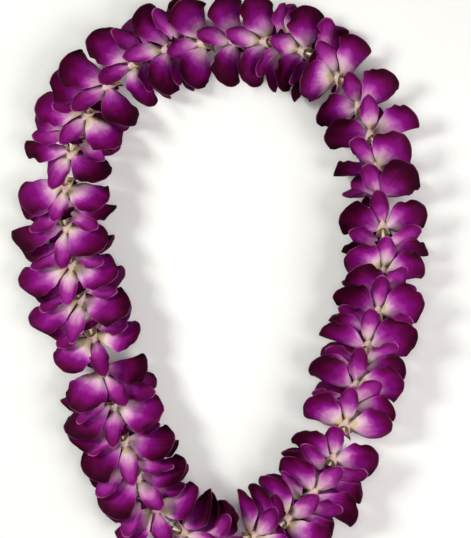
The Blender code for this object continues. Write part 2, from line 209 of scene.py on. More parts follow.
# Velvet of the tepals: shades from base to end, strength and width of the pale edge, partly a painted rim
# highlight, and its veins
Velvet = namedtuple("Velvet", "name shades edge_strength edge_width vein_count")
PETAL_SHADES = [(0.0, (208, 192, 150)), (0.07, (228, 204, 206)), (0.21, (212, 154, 195)),
                (0.35, (170, 70, 162)), (0.50, (130, 14, 121)), (0.70, (93, 4, 69)),
                (0.87, (62, 1, 34)), (1.0, (43, 0, 20))]
SEPAL_SHADES = [(0.0, (206, 190, 148)), (0.09, (228, 200, 206)), (0.30, (206, 136, 187)),
                (0.51, (160, 48, 149)), (0.80, (114, 12, 98)), (1.0, (96, 9, 73))]
LIP_SHADES = [(0.0, (200, 184, 110)), (0.2, (214, 168, 180)), (0.4, (122, 16, 98)),
              (0.7, (74, 2, 50)), (1.0, (48, 0, 28))]
VELVETS = [Velvet("petal_velvet", PETAL_SHADES, 0.28, 0.9, 40.0),
           Velvet("sepal_velvet", SEPAL_SHADES, 0.62, 1.1, 24.0),
           Velvet("lip_velvet", LIP_SHADES, 0.4, 0.8, 30.0)]
PALE_VEIN_COLOUR = (226, 178, 220)
DARK_VEIN_COLOUR = (50, 0, 34)
# Pale edge: partly the tepals' own pale margin, partly a painted rim highlight
PALE_EDGE_AND_HIGHLIGHT_COLOUR = (206, 132, 184)
BACK_COLOUR = (124, 40, 108)
SHEEN_TINT = (0.9, 0.55, 0.85, 1.0)

# How far streaks, blotches, a tepal's own tone and its outer part move the shade towards the end
STREAK_SHIFT = 0.12
BLOTCH_SHIFT = 0.4
TONE_SHIFT = 0.2
# The outer part's darkening is partly the tepal's own dark border, partly painted shade where its sides
# curve away
OUTER_BORDER_AND_SHADE_SHIFT = 0.24
OUTER_ACROSS = (0.35, 1.0)
OUTER_ALONG = (0.2, 0.6)

# Veins, patches of the pale edge, partly a painted rim highlight, and relief of the velvet, its heights in
# metres
VEIN_STRETCH = 5.0
VEIN_SCALE = 1.6
VEIN_BEND = 7.0
VEIN_SHARPNESS = 3.0
BLOTCH_STRETCH = 2.0
BLOTCH_SCALE = 1.3
PALE_VEINS = 0.05
PALE_VEINS_FADE = (0.2, 0.62)
DARK_VEINS = 0.02
DARK_VEINS_START = (0.25, 0.6)
EDGE_PATCHES = 1.4
EDGE_LOSS = -0.8
BACK_SHARE = 0.25
DOME_HEIGHT = 0.003
DOME_END = 0.7
GRAIN_SCALE = 1500.0
GRAIN_SHARE = 0.5
VEIN_RELIEF = -0.05
RELIEF_HEIGHT = 0.0003
RELIEF_STRENGTH = 0.3

# Shades of the throat, the finger, the cotton and the ground
THROAT_SKIN = [(0.2, (184, 132, 160)), (0.45, (208, 182, 172)), (0.8, (214, 202, 162))]
# Inside of the throat, darker as it narrows: partly its own olive and red-brown, partly painted shade
THROAT_DEPTH_AND_SHADE = [(0.12, (112, 64, 36)), (0.30, (176, 148, 84)), (0.55, (218, 204, 146)),
                (0.9, (224, 206, 184))]
THROAT_WIDEST = 5.2
FINGER_SHADES = [(0.0, (170, 120, 104)), (0.25, (210, 194, 158)), (0.5, (230, 220, 200)),
                 (0.68, (226, 188, 210)), (0.8, (230, 212, 172)), (1.0, (212, 184, 116))]
COTTON_SHADES = [(0.3, (188, 176, 150)), (0.6, (232, 224, 204))]
GROUND_SHADES = [(0.3, (238, 242, 236)), (0.7, (242, 246, 240))]

# View of the photo
VIEW_CENTRE = (10.69, 16.30)
VIEW_WIDTH = 336.4
VIEW_DISTANCE = 1200.0
VIEW_LEVEL = 20.0
SENSOR = 36.0

# Lights as name, place, power, size and tint, and the sky and the floor
LIGHTS = [("key", (-1.10, 0.40, 0.95), 16.4, 0.42, (1.0, 1.0, 0.97)),
          ("side", (0.98, -0.45, 0.90), 13.9, 0.95, (1.0, 0.94, 0.97)),
          ("top", (0.03, 0.02, 0.75), 1.3, 0.30, (1.0, 0.96, 0.98))]
SKY = 0.17
SKY_COLOUR = (1.0, 0.85, 0.92, 1.0)
FLOOR_SIZE = 10.0


def srgb(red, green, blue):
    """A linear colour from display values out of 255."""
    shares = [value / 255 for value in (red, green, blue)]
    return tuple(c / 12.92 if c <= 0.04045 else ((c + 0.055) / 1.055) ** 2.4 for c in shares) + (1.0,)


def sign(value):
    return np.where(np.asarray(value) < 0, -1.0, 1.0)


def even_angles(count):
    """Angles all the way round in even steps."""
    return TURN * np.arange(count) / count


def rows_of(x, y, z):
    """Three arrays or numbers of like shape as one row of three for each point."""
    return np.stack(np.broadcast_arrays(x, y, z), -1).reshape(-1, 3)


def closed_spline(points, steps):
    """A smooth closed curve through the points, as dense samples."""
    count = len(points)
    system = 4 * np.eye(count) + np.roll(np.eye(count), 1, 0) + np.roll(np.eye(count), -1, 0)
    bends = np.linalg.solve(system, 6 * (np.roll(points, 1, 0) - 2 * points + np.roll(points, -1, 0)))
    share = np.arange(steps)[:, None] / steps
    rest = 1 - share
    pieces = []
    for i in range(count):
        j = (i + 1) % count
        bent = (rest ** 3 - rest) * bends[i] + (share ** 3 - share) * bends[j]
        pieces.append(points[i] * rest + points[j] * share + bent / 6)
    return np.concatenate(pieces)


class Route:
    """The string's course, read by the distance along it."""

    def __init__(self):
        self.line = closed_spline(np.array(ROUTE, float) - MIDDLE, ROUTE_STEPS)
        step = np.roll(self.line, -1, 0) - self.line
        size = np.linalg.norm(step, axis=1)
        self.length = float(size.sum())
        self.starts = np.concatenate([[0.0], np.cumsum(size)[:-1]])
        self.middles = self.starts + size / 2
        self.heading = np.unwrap(np.arctan2(step[:, 1], step[:, 0]))
        turn = np.diff(np.append(self.heading, self.heading[0] - TURN))
        self.bend = -turn / size

    def look_up(self, s, places, values, lap):
        """Value at distance s, where one lap of the loop adds lap to it."""
        laps = np.floor(np.asarray(s, float) / self.length)
        within = s - laps * self.length
        long_places = np.concatenate([places[-1:] - self.length, places, places[:1] + self.length])
        long_values = np.concatenate([values[-1:] - lap, values, values[:1] + lap])
        return np.interp(within, long_places, long_values) + laps * lap

    def bend_at(self, s):
        return self.look_up(s, self.starts, self.bend, 0.0)

    def place(self, s, u, v):
        """Points of the curved lei for straight places (s, u, v)."""
        x = self.look_up(s, self.starts, self.line[:, 0], 0.0)
        y = self.look_up(s, self.starts, self.line[:, 1], 0.0)
        heading = self.look_up(s, self.middles, self.heading, -TURN)
        height = np.broadcast_to(STRING_HEIGHT + v, x.shape)
        return np.stack([x + u * np.sin(heading), y - u * np.cos(heading), height], -1)


def lean_back(height):
    """How far a sheet lies behind its fold at a height above it."""
    return -math.tan(LEAN) * (np.hypot(height, FOLD_ROUNDING) - FOLD_ROUNDING)


class Bloom:
    """One bloom's station on the string, its turn about it and its seeded draws."""

    def __init__(self, number, station, turn, front):
        draws = np.random.default_rng(SEED + SEED_STEP * number)
        jitter = TURN_JITTER if front else TURNED_JITTER
        self.number = number
        self.station = station
        self.front = front
        self.turn = math.radians(turn + jitter * draws.uniform(-1, 1))
        self.fold = -FOLD_DROP * abs(math.cos(self.turn))
        swing = math.cos(TURN * (station - LARGEST_STATION) / LOOP)
        self.size = 1 + SIZE_SWING * swing + SIZE_JITTER * draws.uniform(-1, 1)
        self.draws = draws.uniform(-1, 1, (TEPALS_PER_BLOOM, DRAWS_PER_TEPAL))
        self.heights = np.arange(-FACE_REACH, FACE_REACH + FACE_STEP / 2, FACE_STEP)
        steps = np.hypot(np.diff(self.heights), np.diff(lean_back(self.heights - self.fold)))
        climbed = np.concatenate([[0.0], np.cumsum(steps)])
        self.climbed = climbed - np.interp(0.0, self.heights, climbed)

    def height_of(self, w):
        """Height above the string at the distance w up the bloom's leaning face."""
        return np.interp(w, self.climbed, self.heights)

    def sheet(self, v):
        """Distance along the string of the bloom's face at height v."""
        return self.station + lean_back(v - self.fold) - lean_back(-self.fold)

    def tepals(self):
        """The bloom's tepals as kind, number of its draws and side."""
        side_sepal = SIDE_SEPAL if self.front else TURNED_SIDE_SEPAL
        return [(UPPER_SEPAL, 0, 1), (side_sepal, 1, 1), (side_sepal, 2, -1),
                (PETAL, 3, 1), (PETAL, 4, -1), (LIP, 5, 1)]

    def pattern(self, index=0):
        """A number that sets one tepal's pattern apart from the others."""
        return BLOOM_PATTERN * self.number + TEPAL_PATTERN * index

    def tone(self, index=0):
        """How much darker or paler than the others one tepal is."""
        return self.draws[index][-1]


class Neighbour:
    """A bloom seen from the next one, on the same lap of the loop."""

    def __init__(self, bloom, shift):
        self.bloom = bloom
        self.shift = shift
        self.station = bloom.station + shift

    def sheet(self, v):
        return self.bloom.sheet(v) + self.shift


def all_blooms():
    """All blooms in order along the string."""
    places = [(station, turn, True) for station, turn in FRONT_BLOOMS + SIDE_BLOOMS]
    places += [(station, turn, False) for station, turn in TURNED_BLOOMS]
    return [Bloom(number, *place) for number, place in enumerate(sorted(places))]


def neighbours(blooms, i, route):
    """The blooms before and after bloom i."""
    last = len(blooms) - 1
    before = Neighbour(blooms[i - 1], -route.length if i == 0 else 0.0)
    after = Neighbour(blooms[0 if i == last else i + 1], route.length if i == last else 0.0)
    return before, after


def half_width(kind, share):
    """Half width of a tepal at a share of its length."""
    rise = np.clip(share / kind.widest, 0, 1)
    fall = np.clip((share - kind.widest) / (1 - kind.widest), 0, 1)
    swell = np.sin(rise * math.pi / 2) ** SWELL
    return (kind.claw + (kind.width - kind.claw) * swell) * np.sqrt(np.clip(1 - fall * fall, 0, 1))


def lip_width(t):
    """Half width of the three-lobed lip."""
    shares, widths = zip(*LIP_OUTLINE)
    return LIP.width * np.interp(t, shares, widths)


def tepal_face(bloom, kind, index, side, t, q):
    """Places u and w on the bloom's face and the push off it, for shares t along and q across."""
    draw = bloom.draws[index]
    length = kind.length * bloom.size * (1 + LENGTH_JITTER * draw[1])
    swerve = ANGLE_JITTER * draw[0] * np.minimum(ANGLE_EASE * t, 1)
    angle = math.radians(kind.angle * side) + bloom.turn + swerve
    notch = 1 + NOTCH * np.sin(TURN * NOTCH_TURNS * t + NOTCH_PHASE * draw[3] + sign(q)) * t
    width = lip_width(t) if kind is LIP else half_width(kind, t * (1 - kind.rounding * t * t))
    across = side * q * width * notch
    along = ROOT_RADIUS + length * t * (1 - kind.rounding * q * q * t * t)
    u = along * np.sin(angle) + across * np.cos(angle)
    w = along * np.cos(angle) - across * np.sin(angle)
    ripple = np.sin(TURN * WAVE_TURNS * t + math.pi * (sign(q) / 2 + draw[2]))
    wave = WAVE * ripple * np.abs(q) ** WAVE_RISE * t
    curl = -(CURL + CURL_JITTER * draw[3]) * t ** 3
    cup = (CUP + CUP_JITTER * draw[4]) * q * q * t
    fine = lip_detail(draw, t, q) if kind is LIP else margin_detail(draw, t, q)
    return u, w, kind.layer + kind.forward * t + wave + curl + cup + fine


def margin_detail(draw, t, q):
    """Small ruffles of a tepal's margin and end, and the groove along its middle."""
    turns = RUFFLE_TURNS * (1 + RUFFLE_JITTER * draw[1])
    phase = RUFFLE_PHASE * draw[0] + RUFFLE_SIDE_PHASE * sign(q)
    ruffle = RUFFLE * np.sin(TURN * turns * t + phase) * np.abs(q) ** RUFFLE_ACROSS * t ** RUFFLE_ALONG
    end = END_RUFFLE * np.sin(TURN * END_TURNS * q + END_PHASE * draw[2]) * t ** END_ALONG
    groove = -GROOVE * np.exp(-(q / GROOVE_WIDTH) ** 2) * t * (1 - t) * 4
    return ruffle + end + groove


def lip_detail(draw, t, q):
    """Side lobes of the lip that fold forwards, and its ruffled margin."""
    fold = LIP_FOLD * q * q * np.exp(-((t - LIP_FOLD_PLACE) / LIP_FOLD_WIDTH) ** 2)
    phase = LIP_SIDE_PHASE * sign(q) + LIP_PHASE * draw[0]
    ruffle = LIP_RUFFLE * np.sin(TURN * LIP_RUFFLE_TURNS * t + phase)
    return fold + ruffle * np.abs(q) ** 3 * t


def keep_between(bloom, before, after, route, u, v, push):
    """The push along the string, kept clear of the faces of the blooms before and after."""
    s = bloom.sheet(v)
    squeeze = np.maximum(1 - route.bend_at(s) * u, LEAST_SQUEEZE)
    limits = []
    for room in (after.sheet(v) - s, s - before.sheet(v)):
        most = np.minimum(GAP_SHARE * room, 0.5 * (room - LEAST_GAP / squeeze))
        limits.append(np.maximum(most, LEAST_PUSH))
    ahead, behind = limits
    return np.where(push > 0, ahead * np.tanh(push / ahead), behind * np.tanh(push / behind))


class Shape:
    """Points, faces and surface facts of one piece as it is built up."""

    def __init__(self):
        self.points = []
        self.faces = []
        self.place = []
        self.facts = []
        self.slots = []
        self.count = 0

    def add(self, points, faces, place, facts, slot=0):
        """Adds one closed body, with its faces turned outwards."""
        a, b, c, d = (points[faces[:, k]] for k in range(4))
        volume = (a * (np.cross(b, c) + np.cross(c, d))).sum()
        if volume < 0:
            faces = faces[:, ::-1]
        self.points.append(points)
        self.faces.append(faces + self.count)
        self.place.append(place)
        self.facts.append(facts)
        self.slots.append(np.full(len(faces), slot))
        self.count += len(points)

    def piece(self, name, materials):
        """The finished object, smooth but for its thin edges."""
        mesh = bpy.data.meshes.new(name)
        points = np.concatenate(self.points) * MM
        faces = np.concatenate(self.faces)
        mesh.from_pydata(points.tolist(), [], faces.tolist())
        mesh.polygons.foreach_set("material_index", np.concatenate(self.slots).astype(np.int32))
        mesh.polygons.foreach_set("use_smooth", np.ones(len(faces), bool))
        for title, values in (("place", self.place), ("facts", self.facts)):
            layer = mesh.attributes.new(title, "FLOAT_VECTOR", "POINT")
            layer.data.foreach_set("vector", np.concatenate(values).astype(np.float32).ravel())
        mesh.set_sharp_from_angle(angle=SHARP_ANGLE)
        for material in materials:
            mesh.materials.append(material)
        mesh.update()
        made = bpy.data.objects.new(name, mesh)
        bpy.context.scene.collection.objects.link(made)
        return made


def grid_faces(rows, columns, start=0):
    """Quads of a grid of rows by columns of cells."""
    corner = (np.arange(rows)[:, None] * (columns + 1) + np.arange(columns)[None, :]).ravel() + start
    return np.stack([corner, corner + 1, corner + columns + 2, corner + columns + 1], 1)


def rim_faces(rows, columns, other):
    """Quads that join the edges of two like grids, the second one other points on."""
    wide = columns + 1
    edge = list(range(wide)) + [i * wide + columns for i in range(1, rows + 1)]
    edge += list(range(rows * wide + columns - 1, rows * wide - 1, -1))
    edge += [i * wide for i in range(rows - 1, 0, -1)]
    edge = np.array(edge)
    following = np.roll(edge, -1)
    return np.stack([edge, edge + other, following + other, following], 1)


def blade_faces(rows, columns):
    """Quads of a blade's front, its back and its edge all round."""
    other = (rows + 1) * (columns + 1)
    back = grid_faces(rows, columns, other)[:, ::-1]
    return np.concatenate([grid_faces(rows, columns), back, rim_faces(rows, columns, other)[:, ::-1]])


def tube_faces(rings, sides, closed=False):
    """Side quads of a tube of rings, joined end to end if closed."""
    ring = np.arange(rings if closed else rings - 1)[:, None] * sides
    following = (ring + sides) % (rings * sides)
    side = np.arange(sides)[None, :]
    beside = (side + 1) % sides
    corners = [ring + side, ring + beside, following + beside, following + side]
    return np.stack([corner.ravel() for corner in corners], 1)


def end_faces(first, sides):
    """Quads that fill a ring of an even number of points."""
    near = first + np.arange(sides // 2 - 1)
    far = 2 * first + sides - 1 - near
    return np.stack([near, near + 1, far - 1, far], 1)


def filled_tube_faces(rings, sides):
    """Quads of a tube of rings with both its ends filled."""
    first = end_faces(0, sides)[:, ::-1]
    last = end_faces((rings - 1) * sides, sides)
    return np.concatenate([tube_faces(rings, sides), first, last])


def soft_table(points):
    """Points near or below the table laid softly on it."""
    laid = points.copy()
    height = points[..., 2]
    laid[..., 2] = 0.5 * (height + np.hypot(height, TABLE_SOFTNESS))
    return laid


def tepal_grid(kind):
    """Shares of the rows, and shares t along and q across, with the end's corners rounded."""
    spread = np.linspace(-1, 1, kind.columns + 1) * math.pi / COLUMN_SPREAD
    q = np.sin(spread) / math.sin(math.pi / COLUMN_SPREAD)
    corner = np.clip((np.abs(q) - 1 + CORNER_ACROSS) / CORNER_ACROSS, 0, 1)
    end = 1 - CORNER_ALONG * (1 - np.sqrt(1 - corner * corner))
    row = np.linspace(0, 1, kind.rows + 1)[:, None] ** ROW_SPREAD
    t = row * end
    return row, t, np.broadcast_to(q, t.shape)


def blade_points(middle, half, side):
    """Front and back points of a blade that lie half its thickness off its middle."""
    normal = np.cross(np.gradient(middle, axis=0), np.gradient(middle, axis=1)) * side
    normal /= np.maximum(np.linalg.norm(normal, axis=2, keepdims=True), LEAST_NORMAL)
    off = half[..., None] * normal
    return np.concatenate([(middle + off).reshape(-1, 3), (middle - off).reshape(-1, 3)])


def add_tepal(shape, route, bloom, before, after, tepal):
    """One tepal as a thin closed blade with a smooth outline."""
    kind, index, side = tepal
    row, t, q = tepal_grid(kind)
    u, w, push = tepal_face(bloom, kind, index, side, t, q)
    v = bloom.height_of(w)
    push = keep_between(bloom, before, after, route, u, v, push)
    middle = soft_table(route.place(bloom.sheet(v) + push, u, v))
    inner = (1 - np.abs(q) ** THIN_ACROSS) * (1 - row ** THIN_ALONG)
    half = EDGE_HALF + (MIDDLE_HALF - EDGE_HALF) * inner
    width = np.linalg.norm(middle[:, -1] - middle[:, 0], axis=1)[:, None] / 2
    margin = np.minimum((1 - np.abs(q)) * width, (1 - row) * kind.length)
    place = rows_of(q, t, bloom.pattern(index))
    facts = [rows_of(margin, bloom.tone(index), back) for back in (0.0, 1.0)]
    shape.add(blade_points(middle, half, side), blade_faces(kind.rows, kind.columns),
              np.concatenate([place, place]), np.concatenate(facts), kind.slot)


def hub_frame(route, bloom):
    """A straight hub's start on the string, and its directions along, inside and up."""
    middle = bloom.station + (HUB_FRONT - SPUR_LENGTH) / 2
    ends = route.place(middle + np.array([-SPUR_LENGTH / 2, SPUR_LENGTH / 2]), 0.0, 0.0)
    along = (ends[1] - ends[0]) / np.linalg.norm(ends[1] - ends[0])
    centre = (ends.mean(0) + route.place(middle, 0.0, 0.0)) / 2
    start = centre + along * (bloom.station - middle)
    return start, along, np.array([along[1], -along[0], 0.0]), np.array([0.0, 0.0, 1.0])


def on_hub(where, along, radius, angles, aside=0.0, lift=0.0):
    """Points round the hub's axis at distances along it and the given angles."""
    start, forward, inside, up = where
    sideways = np.multiply.outer(aside + radius * np.sin(angles), inside)
    upwards = np.multiply.outer(lift + radius * np.cos(angles), up)
    return start + np.multiply.outer(along, forward) + sideways + upwards


def rim_slant(angles):
    """How far the throat's rim reaches ahead at an angle from the bloom's top."""
    return RIM_LEVEL + RIM_TILT * np.cos(angles) + RIM_DIP * np.cos(2 * angles)


def throat_rings(bloom, before):
    """Rings outside, from the spur's end to the rim, and rings inside, from the rim back."""
    back = max(before.station + HUB_FRONT + HUB_GAP - bloom.station, -SPUR_LENGTH)
    reach = min(back + SPUR_RISE, THROAT_OUTSIDE[0][0] - SPUR_ROOM)
    spur = [(back + offset, radius, 0.0) for offset, radius in SPUR_END]
    bore = ((back + THROAT_INSIDE[-1][0]) / 2, BORE_RADIUS, 0.0)
    return spur + [(reach, SPUR_RADIUS, 0.0)] + THROAT_OUTSIDE, THROAT_INSIDE + [bore]


def add_throat(shape, where, bloom, before):
    """The throat and spur, a ribbed trumpet round the string."""
    outside, inside = throat_rings(bloom, before)
    rings = outside + inside
    angles = even_angles(THROAT_SIDES)
    ribs = 1 + RIB_DEPTH * np.cos(RIB_COUNT * angles + RIB_PHASE)
    slant = rim_slant(angles)
    points = []
    place = []
    for along, radius, share in rings:
        ribbed = radius * ribs if radius > RIBBED_FROM else radius
        places = along + share * slant
        points.append(on_hub(where, places, ribbed, angles + bloom.turn))
        place.append(rows_of(np.cos(angles), places, bloom.pattern()))
    radii = np.repeat([radius for _, radius, _ in rings], THROAT_SIDES)
    within = np.repeat([0.0, 1.0], [len(outside) * THROAT_SIDES, len(inside) * THROAT_SIDES])
    facts = rows_of(radii, bloom.tone(), within)
    faces = tube_faces(len(rings), THROAT_SIDES, closed=True)
    shape.add(np.concatenate(points), faces, np.concatenate(place), facts, THROAT_SLOT)


def add_finger(shape, where, bloom):
    """The pale finger that stands in the throat, with its rounded cap."""
    angles = even_angles(FINGER_SIDES)
    flat = np.where(np.cos(angles) < 0, FINGER_FLATNESS, 1.0)
    points = []
    place = []
    for number, (along, off, radius) in enumerate(FINGER):
        places = np.full(angles.shape, along)
        aside = off * math.sin(bloom.turn)
        lift = off * math.cos(bloom.turn)
        points.append(on_hub(where, places, radius * flat, angles + bloom.turn, aside, lift))
        place.append(rows_of(np.cos(angles), number / (len(FINGER) - 1), bloom.pattern()))
    points = np.concatenate(points)
    faces = filled_tube_faces(len(FINGER), FINGER_SIDES)
    shape.add(points, faces, np.concatenate(place), np.zeros_like(points), FINGER_SLOT)


def make_bloom(route, blooms, i, materials):
    """A bloom's fine piece, in place of its solid."""
    bloom = blooms[i]
    before, after = neighbours(blooms, i, route)
    shape = Shape()
    for tepal in bloom.tepals():
        add_tepal(shape, route, bloom, before, after, tepal)
    where = hub_frame(route, bloom)
    add_throat(shape, where, bloom, before)
    add_finger(shape, where, bloom)
    made = shape.piece(f"orchid_{i + 1:02d}", materials)
    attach(made, BODY)
    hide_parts(f"bloom_{i + 1:02d}")


def add_tube(shape, route, s, u, v, radius, sides, closed=True):
    """A tube round a path given by straight places, with rings across it."""
    middle = route.place(s, u, v)
    if closed:
        ahead = np.roll(middle, -1, 0) - np.roll(middle, 1, 0)
        faces = tube_faces(len(s), sides, closed=True)
    else:
        ahead = np.gradient(middle, axis=0)
        faces = filled_tube_faces(len(s), sides)
    ahead /= np.linalg.norm(ahead, axis=1, keepdims=True)
    rough = np.where(np.abs(ahead[:, 2:]) < STEEP, [[0.0, 0.0, 1.0]], [[1.0, 0.0, 0.0]])
    first = np.cross(ahead, rough)
    first /= np.linalg.norm(first, axis=1, keepdims=True)
    second = np.cross(ahead, first)
    cosines = np.cos(even_angles(sides))[None, :]
    sines = np.sin(even_angles(sides))[None, :]
    across = cosines[..., None] * first[:, None] + sines[..., None] * second[:, None]
    radius = np.broadcast_to(radius, s.shape)[:, None, None]
    points = (middle[:, None] + radius * across).reshape(-1, 3)
    shape.add(points, faces, rows_of(cosines, s[:, None], sines), np.zeros_like(points))


def add_plies(shape, route):
    """The string's plies all the way round, twisted together."""
    turns = round(route.length / PLY_PITCH)
    steps = round(route.length / PLY_STEP)
    s = np.arange(steps) * route.length / steps
    for ply in range(PLIES):
        angle = TURN * (turns * s / route.length + ply / PLIES)
        u = PLY_OFFSET * np.cos(angle)
        v = PLY_OFFSET * np.sin(angle)
        add_tube(shape, route, s, u, v, PLY_RADIUS, PLY_SIDES)


def add_knot(shape, route):
    """The knot's turns round the string."""
    angle = even_angles(KNOT_STEPS)
    for turn in range(KNOT_TURNS):
        slope = KNOT_SLOPE * np.sin(angle + turn)
        s = KNOT_STATION + (turn - (KNOT_TURNS - 1) / 2) * KNOT_PITCH + slope
        u = KNOT_REACH * np.cos(angle)
        v = KNOT_REACH * np.sin(angle)
        add_tube(shape, route, s, u, v, KNOT_THICKNESS, KNOT_SIDES)


def add_tail(shape, route, mirror):
    """One cut end of the string, its plies loosening at the tip."""
    share = np.linspace(0, 1, TAIL_STEPS)
    knots = np.linspace(0, 1, len(TAIL_POINTS))
    off, lift, along = (np.interp(share, knots, values) for values in zip(*TAIL_POINTS))
    fray = share ** TAIL_FRAY
    loose = PLY_OFFSET * (1 + TAIL_LOOSENESS * fray)
    for ply in range(PLIES):
        angle = TURN * (share * TAIL_TWIST + ply / PLIES)
        u = mirror * off + loose * np.cos(angle)
        s = KNOT_STATION + mirror * along + loose * np.sin(angle)
        radius = PLY_RADIUS * (1 - TAIL_TAPER * fray)
        add_tube(shape, route, s, u, lift, radius, PLY_SIDES, closed=False)


def make_string(route, material):
    """The string's twisted plies, its knot and its two tails."""
    shape = Shape()
    add_plies(shape, route)
    add_knot(shape, route)
    for mirror in (-1, 1):
        add_tail(shape, route, mirror)
    made = shape.piece("twisted_string", [material])
    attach(made, BODY)
    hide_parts("string")


class Nodes:
    """A material's shader nodes, added and linked in short calls."""

    def __init__(self, name):
        self.material = bpy.data.materials.new(name)
        self.material.use_nodes = True
        self.tree = self.material.node_tree
        self.shader = self.tree.nodes["Principled BSDF"]

    def feed(self, socket, value):
        if isinstance(value, bpy.types.NodeSocket):
            self.tree.links.new(value, socket)
        else:
            socket.default_value = value

    def surface(self, name, value):
        self.feed(self.shader.inputs[name], value)

    def attribute(self, name):
        """The three parts of a vector attribute."""
        found = self.tree.nodes.new("ShaderNodeAttribute")
        found.attribute_name = name
        parts = self.tree.nodes.new("ShaderNodeSeparateXYZ")
        self.tree.links.new(found.outputs["Vector"], parts.inputs[0])
        return parts.outputs

    def math(self, operation, a, b=0.0, c=0.0, clamp=False):
        made = self.tree.nodes.new("ShaderNodeMath")
        made.operation = operation
        made.use_clamp = clamp
        for socket, value in zip(made.inputs, (a, b, c)):
            self.feed(socket, value)
        return made.outputs[0]

    def times(self, a, b):
        return self.math("MULTIPLY", a, b)

    def plus(self, base, value, share, clamp=False):
        """The base with a share of a value added to it."""
        return self.math("MULTIPLY_ADD", value, share, base, clamp)

    def centred(self, value):
        """A value from 0 to 1 moved to lie round 0."""
        return self.math("SUBTRACT", value, 0.5)

    def rest(self, value):
        """What a value leaves of 1."""
        return self.math("SUBTRACT", 1.0, value)

    def step(self, value, low, high):
        """A smooth step from 0 at low to 1 at high."""
        made = self.tree.nodes.new("ShaderNodeMapRange")
        made.interpolation_type = "SMOOTHSTEP"
        self.feed(made.inputs["Value"], value)
        self.feed(made.inputs["From Min"], low)
        self.feed(made.inputs["From Max"], high)
        return made.outputs[0]

    def vector(self, x, y, z):
        made = self.tree.nodes.new("ShaderNodeCombineXYZ")
        for socket, value in zip(made.inputs, (x, y, z)):
            self.feed(socket, value)
        return made.outputs[0]

    def noise(self, vector, scale, detail=3.0, roughness=0.55):
        made = self.tree.nodes.new("ShaderNodeTexNoise")
        self.feed(made.inputs["Vector"], vector)
        self.feed(made.inputs["Scale"], scale)
        self.feed(made.inputs["Detail"], detail)
        self.feed(made.inputs["Roughness"], roughness)
        return made.outputs["Fac"]

    def place(self):
        return self.tree.nodes.new("ShaderNodeTexCoord").outputs["Object"]

    def mix(self, factor, a, b):
        """Colour a with a share of the display colour b over it, or of another linked colour."""
        made = self.tree.nodes.new("ShaderNodeMix")
        made.data_type = "RGBA"
        self.feed(made.inputs[0], factor)
        self.feed(made.inputs[6], a)
        self.feed(made.inputs[7], srgb(*b) if isinstance(b, tuple) else b)
        return made.outputs[2]

    def ramp(self, factor, stops):
        """Display colours blended from stop to stop."""
        made = self.tree.nodes.new("ShaderNodeValToRGB")
        elements = made.color_ramp.elements
        while len(elements) < len(stops):
            elements.new(0.5)
        for element, (position, colour) in zip(elements, stops):
            element.position = position
            element.color = srgb(*colour)
        self.feed(made.inputs[0], factor)
        return made.outputs[0]

    def relief(self, height, strength, distance, under=None):
        """The surface's direction with a relief on it, laid over another one if that is given."""
        made = self.tree.nodes.new("ShaderNodeBump")
        self.feed(made.inputs["Height"], height)
        made.inputs["Strength"].default_value = strength
        made.inputs["Distance"].default_value = distance
        if under:
            self.feed(made.inputs["Normal"], under)
        return made.outputs[0]

    def wax(self, weight, radius, scale):
        """Light that soaks into the surface a little."""
        self.surface("Subsurface Weight", weight)
        self.surface("Subsurface Radius", radius)
        self.surface("Subsurface Scale", scale)


def veins(nodes, q, t, pattern, count):
    """Fine lines along a tepal, from 0 to 1, and the streaks that bend them."""
    streak = nodes.noise(nodes.vector(nodes.times(q, VEIN_STRETCH), t, pattern), VEIN_SCALE, 4.0)
    bent = nodes.plus(nodes.times(q, count), streak, VEIN_BEND)
    wave = nodes.plus(0.5, nodes.math("SINE", bent), 0.5)
    return nodes.math("POWER", wave, VEIN_SHARPNESS), streak


def shade_along(nodes, t, streak, blotch, tone, outer):
    """Place on the range of shades: the share along the tepal, shifted by its own pattern and by a darker
    outer part.
    """
    shade = nodes.plus(t, nodes.centred(streak), STREAK_SHIFT)
    shade = nodes.plus(shade, nodes.centred(blotch), BLOTCH_SHIFT)
    shade = nodes.plus(shade, tone, TONE_SHIFT)
    # Darker towards the outer sides: partly the tepal's own dark border, partly painted shade
    return nodes.plus(shade, outer, OUTER_BORDER_AND_SHADE_SHIFT, clamp=True)


def with_veins(nodes, colour, lines, t):
    """The colour with faint pale veins near the base and faint dark ones farther out."""
    pale = nodes.times(lines, nodes.rest(nodes.step(t, *PALE_VEINS_FADE)))
    colour = nodes.mix(nodes.times(pale, PALE_VEINS), colour, PALE_VEIN_COLOUR)
    dark = nodes.times(nodes.rest(lines), nodes.step(t, *DARK_VEINS_START))
    return nodes.mix(nodes.times(dark, DARK_VEINS), colour, DARK_VEIN_COLOUR)


def with_edge_and_highlight(nodes, colour, velvet, margin, streak, outer):
    """The colour with a pale edge, partly the tepal's own pale margin and partly a painted rim highlight,
    that comes in patches and fades in the outer part.
    """
    edge = nodes.rest(nodes.step(margin, 0.0, velvet.edge_width))
    edge = nodes.times(edge, nodes.plus(0.0, streak, EDGE_PATCHES, clamp=True))
    edge = nodes.times(edge, nodes.plus(1.0, outer, EDGE_LOSS))
    # Pale edge, partly a painted rim highlight, laid over the colour
    return nodes.mix(nodes.times(edge, velvet.edge_strength), colour, PALE_EDGE_AND_HIGHLIGHT_COLOUR)


def dome(nodes, q, t):
    """The gentle rounding of a tepal, which falls off towards its sides and its end."""
    fall = nodes.times(nodes.math("POWER", t, 3.0), DOME_END)
    return nodes.rest(nodes.math("MULTIPLY_ADD", q, q, fall))


